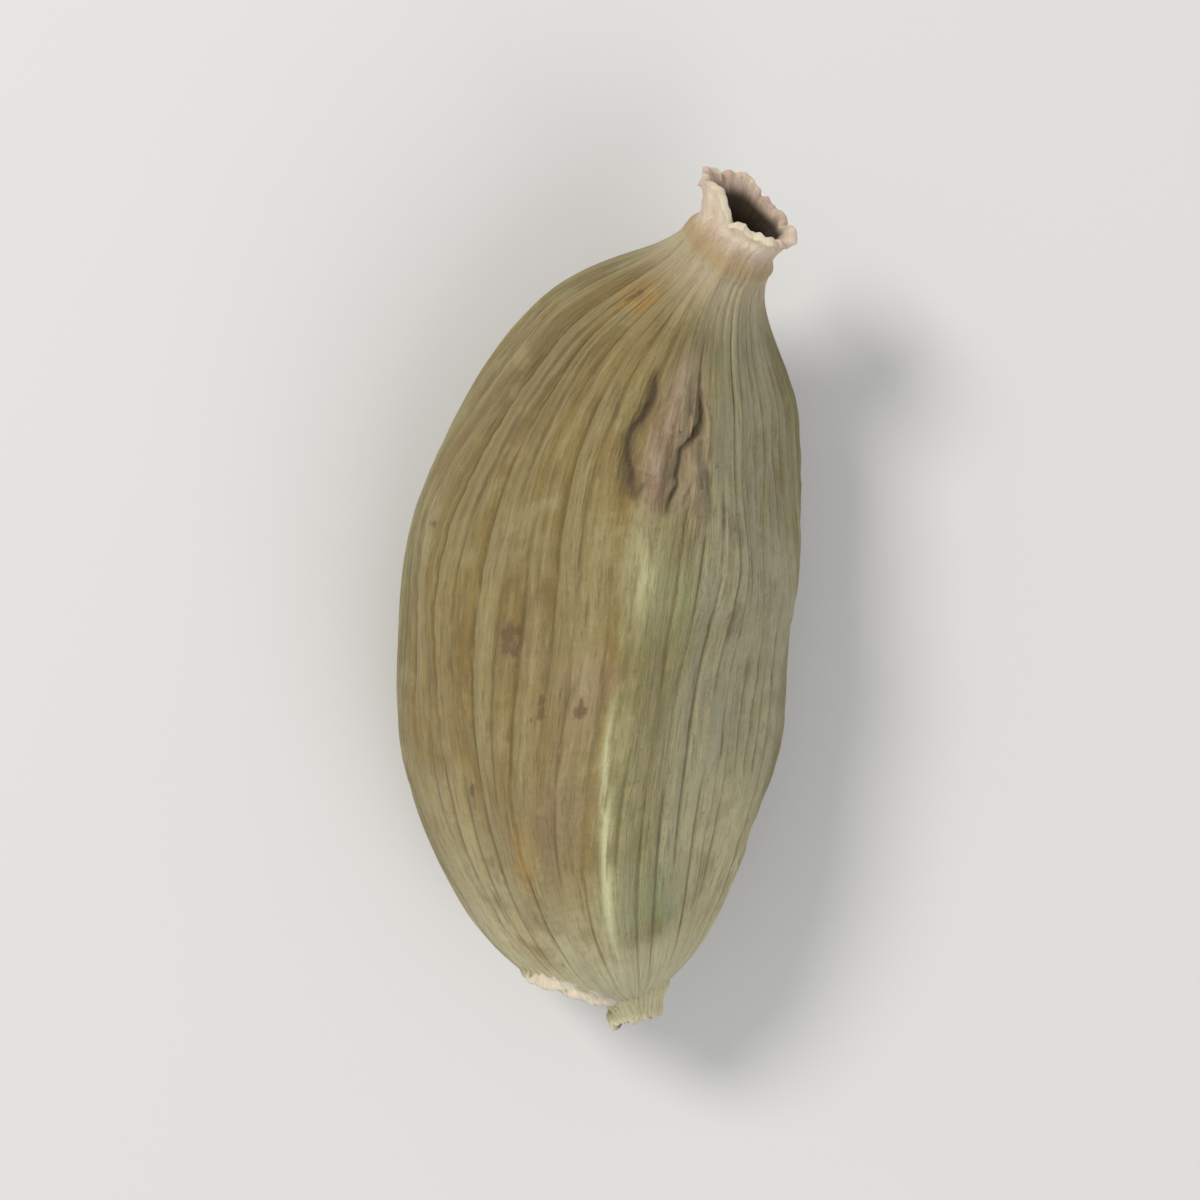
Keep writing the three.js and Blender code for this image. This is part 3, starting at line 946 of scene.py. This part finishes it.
def tubeWalls(rib, share, inset):
    # a point for each rib and share of the way up; inset is 0 on the outside of the wall, 1 on the inside
    look = tubeLook
    centre, direction, side, up = sectionAt(np.array(1.0))
    angle = ribAngle(rib, 1.0)
    around = -angle
    rim = np.clip(share, 0, 1) ** 3
    pleats = tubePleats(around, share, rim)
    oval = 1 + look["rimOval"] * np.cos(2 * around + 0.6) * rim
    # the root carries on the husk's own ribs, and is narrower inside the neck
    neckReach = huskReach(rib, np.full_like(share, 0.9999))[0]
    freeReach = tubeRadius(share) * pleats * oval
    reach = mix(neckReach + look["rootStep"], freeReach, smoothStep(*look["ribFade"], share))
    reach = reach * mix(look["rootNarrowing"], 1, smoothStep(-0.2, 0.0, share))
    # the wall is thicker at the root and on the near side, and thinner at the rim
    wall = look["wall"] * mix(1.5, 1.0, smoothStep(0, 0.5, share)) * (1 - 0.2 * rim)
    wall = wall * (1 + 0.5 * humpRound(around, *look["nearLip"]))
    # tall lobes and the near lip curl outwards, and the edge of the rim is rounded
    rise = rimHeight(around, share)
    rolled = look["lipRoll"] * humpRound(around, *look["nearLip"]) * rim
    curl = 0.25 * np.clip(rise, 0, 1) * rim + rolled
    rounded = 0.3 * wall * np.sin(math.pi * inset)
    out = look["length"] * share + growthGap * np.clip(share * 4, 0, 1) + rise + rounded - rolled
    reach = reach - wall * inset + curl
    point = centre + side * (reach * np.cos(angle))[..., None] + up * (reach * np.sin(angle))[..., None]
    point = point + direction * out[..., None] - side * (look["lean"] * rim)[..., None]
    return point, around, out


def makeFlowerTube():
    look = tubeLook
    outerSteps, rimSteps, innerSteps = 50, 7, 30
    rootShare = -look["sunkRoot"] / look["length"]
    floorShare = 1 - look["holeDepth"] / look["length"]
    share = np.concatenate([
        np.linspace(rootShare, 1, outerSteps),
        np.full(rimSteps, 1.0),
        np.linspace(1, floorShare, innerSteps),
    ])
    inset = np.concatenate([np.zeros(outerSteps), np.linspace(0.1, 0.9, rimSteps), np.ones(innerSteps)])
    rib = np.arange(ribCount * look["columnsPerRib"])[::-1] / look["columnsPerRib"]
    inset = np.repeat(inset[:, None], len(rib), axis=1)
    rib, share = np.meshgrid(rib, share)
    points, around, out = tubeWalls(rib, share, inset)
    centre, direction = sectionAt(np.array(1.0))[:2]
    root = centre - direction * look["sunkRoot"]
    floor = centre + direction * (look["length"] - look["holeDepth"] - 0.02)
    piece = ringMesh("flower_tube", points, root, floor)

    below = smoothStep(0.02, 0.26, 1 - share)
    flow = np.stack([np.cos(around), np.sin(around), out * look["threadStretch"]], axis=-1)
    paintVectors(piece, "flow", flow)
    paintValues(piece, "heightShare", share)
    # painted shade inside, darker further down the hole
    paintValues(piece, "insideShade", mix(0.1, 1.0, below) * (inset > 0.95))
    paintValues(piece, "nearSide", humpRound(around, *look["nearLip"]) * smoothStep(0.35, 0.8, share))
    paintValues(piece, "pleat", 0.5 + 0.5 * pleatWave(around))
    piece.data.materials.append(makeTubeFinish())
    settle(piece, "calyx_tube")


# what a user would change on the stalk end; lengths in millimetres
stubLook = {
    "columnsPerRib": 5,
    "rings": 66,
    "length": 0.36,
    "innerRadius": 0.70,           # inside the husk, which it leaves as a cone
    "rootRadius": 0.64,
    "endRadius": 0.42,
    "scarDepth": 0.1,              # the hollow in its torn end
    "sunkRoot": 0.16,              # how far the root reaches back inside the husk
    "hollowSink": 0.8,             # how much of the torn hollow's depth its root follows
    "fray": 0.05,                  # how far its fibres stand out at the end
    "threadStretch": 0.6,          # how far the threads' noise runs along the stub
    "lip": (170, 40, 0.35, 0.08),  # place and width in degrees, spread over the radius, height
    "straw": (0.60, 0.545, 0.33),
    "bark": (0.38, 0.325, 0.175),
    "scar": (0.15, 0.10, 0.05),
    "cream": (0.76, 0.67, 0.48),
}


def makeStubFinish():
    look = stubLook
    finish = newFinish("dryStalk")
    flow = readLayer(finish, "flow", vector=True)
    lip = readLayer(finish, "lip")
    scar = readLayer(finish, "scar")
    place = objectPlace(finish)
    threads = noiseOf(finish, flow, scale=16.0, detail=4.0, roughness=0.6)
    pores = addNode(finish, "ShaderNodeTexVoronoi", {"Vector": place, "Scale": 11000.0}).outputs["Distance"]
    cloud = noiseOf(finish, place, scale=2200.0, detail=4.0, roughness=0.55)
    colour = tinted(finish, look["straw"], look["bark"], threads, 0.48, 0.68, 0.55)
    colour = tinted(finish, colour, look["cream"], threads, 0.45, 0.32, 0.5)
    colour = blendColour(finish, lip, colour, look["cream"])
    colour = blendColour(finish, scar, colour, look["scar"])
    poreShare = times(finish, ramp(finish, pores, 0.35, 0.1, 0.0, 0.7), scar)
    colour = blendColour(finish, poreShare, colour, look["straw"])
    colour = tinted(finish, colour, look["bark"], cloud, 0.58, 0.72, 0.4)
    bumpHeight = plus(finish, threads, times(finish, cloud, 0.4))
    normal = bumpNormal(finish, bumpHeight, strength=0.5, distance=0.00005)
    roughness = ramp(finish, cloud, 0.3, 0.7, 0.75, 0.9)
    return closeFinish(finish, colour, roughness, normal, {"Specular IOR Level": 0.25})


def stubProfile():
    # rings out along the stub and into its torn end: how far out, the radius, and how much scar shows
    look = stubLook
    length, root, end, scar = look["length"], look["rootRadius"], look["endRadius"], look["scarDepth"]
    knots = np.array([
        [-look["sunkRoot"], look["innerRadius"], 0],
        [0.0, root, 0],
        [0.25 * length, mix(root, end, 0.45), 0],
        [0.6 * length, mix(root, end, 0.85), 0],
        [0.92 * length, end * 0.99, 0],
        [length, end * 0.93, 0],
        [length, end * 0.82, 0.3],
        [length * 0.96, end * 0.7, 0.8],
        [length - scar * 0.7, end * 0.55, 1],
        [length - scar, end * 0.35, 1],
        [length - scar * 0.9, end * 0.12, 1],
    ])
    steps = np.linspace(0, len(knots) - 1, look["rings"])
    return [np.interp(steps, np.arange(len(knots)), knots[:, part]) for part in range(3)]


def stubWalls(rib, out, radius, scar):
    # the points, with their angle round the stub and their share of the way out
    look = stubLook
    angle = ribAngle(rib, 0.0)
    share = np.clip(out / look["length"], 0, 1)
    turnShare = angle / (2 * math.pi)
    place, width, spread, height = look["lip"]
    lip = humpRound(angle, place, width) * share ** 2
    # uneven all round, with frayed fibres at the end
    bulge = 1 + 0.05 * np.sin(3 * angle + 1.1) * share + 0.04 * np.sin(8 * angle)
    bulge = bulge + 0.04 * patchNoise(turnShare, 0 * share, 40, 1, seed=31)
    bulge = bulge + 0.02 * patchNoise(turnShare, share, 76, 2, seed=32)
    fibres = patchNoise(turnShare, 0 * share, 34, 1, seed=33)
    fibres = fibres + 0.8 * patchNoise(turnShare, 0 * share, 90, 1, seed=35)
    frayed = look["fray"] * (0.8 + lip) * fibres * smoothStep(0.5, 1, share)
    # the root carries on the husk's own ribs, and sinks with them beside the torn hollow
    ribCrest = huskReach(rib, np.full_like(share, 0.03))[2]
    reach = radius * (bulge + spread * lip + 0.12 * (ribCrest - 0.4) * (1 - 0.7 * share))
    besideHollow = hollowShare(fromTopSeam(rib), np.full_like(share, 0.013))
    sink = look["hollowSink"] * podForm["tearDepth"]
    reach = reach - sink * besideHollow * smoothStep(0.6, 0.0, share)
    pits = 0.025 * patchNoise(turnShare * 2, radius, 20, 14, seed=34) * scar
    lifted = out - height * lip * radius / look["endRadius"] + frayed + pits + growthGap * share
    centre, direction, side, up = sectionAt(np.array(0.0))
    points = centre + side * (reach * np.cos(angle))[..., None] - direction * lifted[..., None]
    points = points + up * (reach * np.sin(angle))[..., None]
    return points, angle, share


def makeStalkEnd():
    look = stubLook
    rib = np.arange(ribCount * look["columnsPerRib"]) / look["columnsPerRib"]
    out, radius, scar = [np.repeat(part[:, None], len(rib), axis=1) for part in stubProfile()]
    rib = np.repeat(rib[None, :], len(out), axis=0)
    points, angle, share = stubWalls(rib, out, radius, scar)
    centre, direction = sectionAt(np.array(0.0))[:2]
    root = centre + direction * look["sunkRoot"]
    middle = centre - direction * (growthGap + look["length"] - look["scarDepth"] * 0.85)
    piece = ringMesh("stalk_end", points, root, middle)

    flow = np.stack([np.cos(angle), np.sin(angle), out * look["threadStretch"]], axis=-1)
    paintVectors(piece, "flow", flow)
    lipSide = mix(0.2, 1, humpRound(angle, look["lip"][0], 60))
    paintValues(piece, "lip", smoothStep(0.6, 1.0, share) * (1 - scar) * lipSide)
    paintValues(piece, "scar", scar)
    piece.data.materials.append(makeStubFinish())
    settle(piece, "stalk_stub")


# the stage: floor, light and camera; lengths in metres
stageLook = {
    "floorSize": 0.6,
    "floorColour": (0.78, 0.77, 0.75),
    "skyColour": (0.94, 0.96, 1.0),
    "skyStrength": 0.45,
    "lampTarget": (0, 0.001, 0.003),
    "lamps": [  # name, place, size, power, colour
        ("keyLight", (-0.075, 0.06, 0.12), 0.05, 0.12, (1.0, 0.97, 0.92)),
        ("fillLight", (0.06, -0.09, 0.12), 0.12, 0.07, (0.97, 0.98, 1.0)),
    ],
    "lens": 90,             # in millimetres, as the sensor is
    "sensorWidth": 36,
    "frameHeight": 0.0205,  # what the picture takes in, top to bottom
}


def makeStage():
    look = stageLook
    half = look["floorSize"] / 2
    mesh = bpy.data.meshes.new("floor")
    corners = [(-half, -half, 0), (half, -half, 0), (half, half, 0), (-half, half, 0)]
    mesh.from_pydata(corners, [], [(0, 1, 2, 3)])
    floor = bpy.data.objects.new("floor", mesh)
    bpy.context.scene.collection.objects.link(floor)
    finish = newFinish("paleFloor")
    cloud = noiseOf(finish, objectPlace(finish), scale=60.0, detail=2.0, roughness=0.5)
    base = look["floorColour"]
    colour = blendColour(finish, cloud, tuple(part * 0.985 for part in base), base)
    roughness = ramp(finish, cloud, 0.0, 1.0, 0.85, 0.9)
    mesh.materials.append(closeFinish(finish, colour, roughness, None, {"Specular IOR Level": 0.2}))


def addLamp(name, place, size, power, colour):
    lamp = bpy.data.lights.new(name, "AREA")
    lamp.shape = "DISK"
    lamp.size = size
    lamp.energy = power
    lamp.color = colour
    holder = bpy.data.objects.new(name, lamp)
    holder.location = place
    aim = Vector(stageLook["lampTarget"]) - Vector(place)
    holder.rotation_euler = aim.to_track_quat("-Z", "Y").to_euler()
    bpy.context.scene.collection.objects.link(holder)


def makeLight():
    look = stageLook
    world = bpy.data.worlds.new("softSky")
    world.use_nodes = True
    background = world.node_tree.nodes["Background"]
    background.inputs["Color"].default_value = (*look["skyColour"], 1)
    background.inputs["Strength"].default_value = look["skyStrength"]
    bpy.context.scene.world = world
    for lamp in look["lamps"]:
        addLamp(*lamp)


def makeCamera():
    # straight above the middle of the pod, looking down
    look = stageLook
    low, high = cadBox
    middle = (low + high) / 2
    camera = bpy.data.cameras.new("viewer")
    camera.lens = look["lens"]
    camera.sensor_width = look["sensorWidth"]
    camera.clip_start = 0.001
    camera.clip_end = 5
    distance = look["frameHeight"] / 2 / (camera.sensor_width / 2 / camera.lens)
    holder = bpy.data.objects.new("viewer", camera)
    holder.location = (middle.x, middle.y, middle.z + distance)
    bpy.context.scene.collection.objects.link(holder)
    bpy.context.scene.camera = holder


makeCamera()
makeLight()
makeStage()
print("stage: camera, light and floor made")
makeHusk()
print("stage: husk made")
makeFlowerTube()
print("stage: flower tube made")
makeStalkEnd()
print("stage: stalk end made")
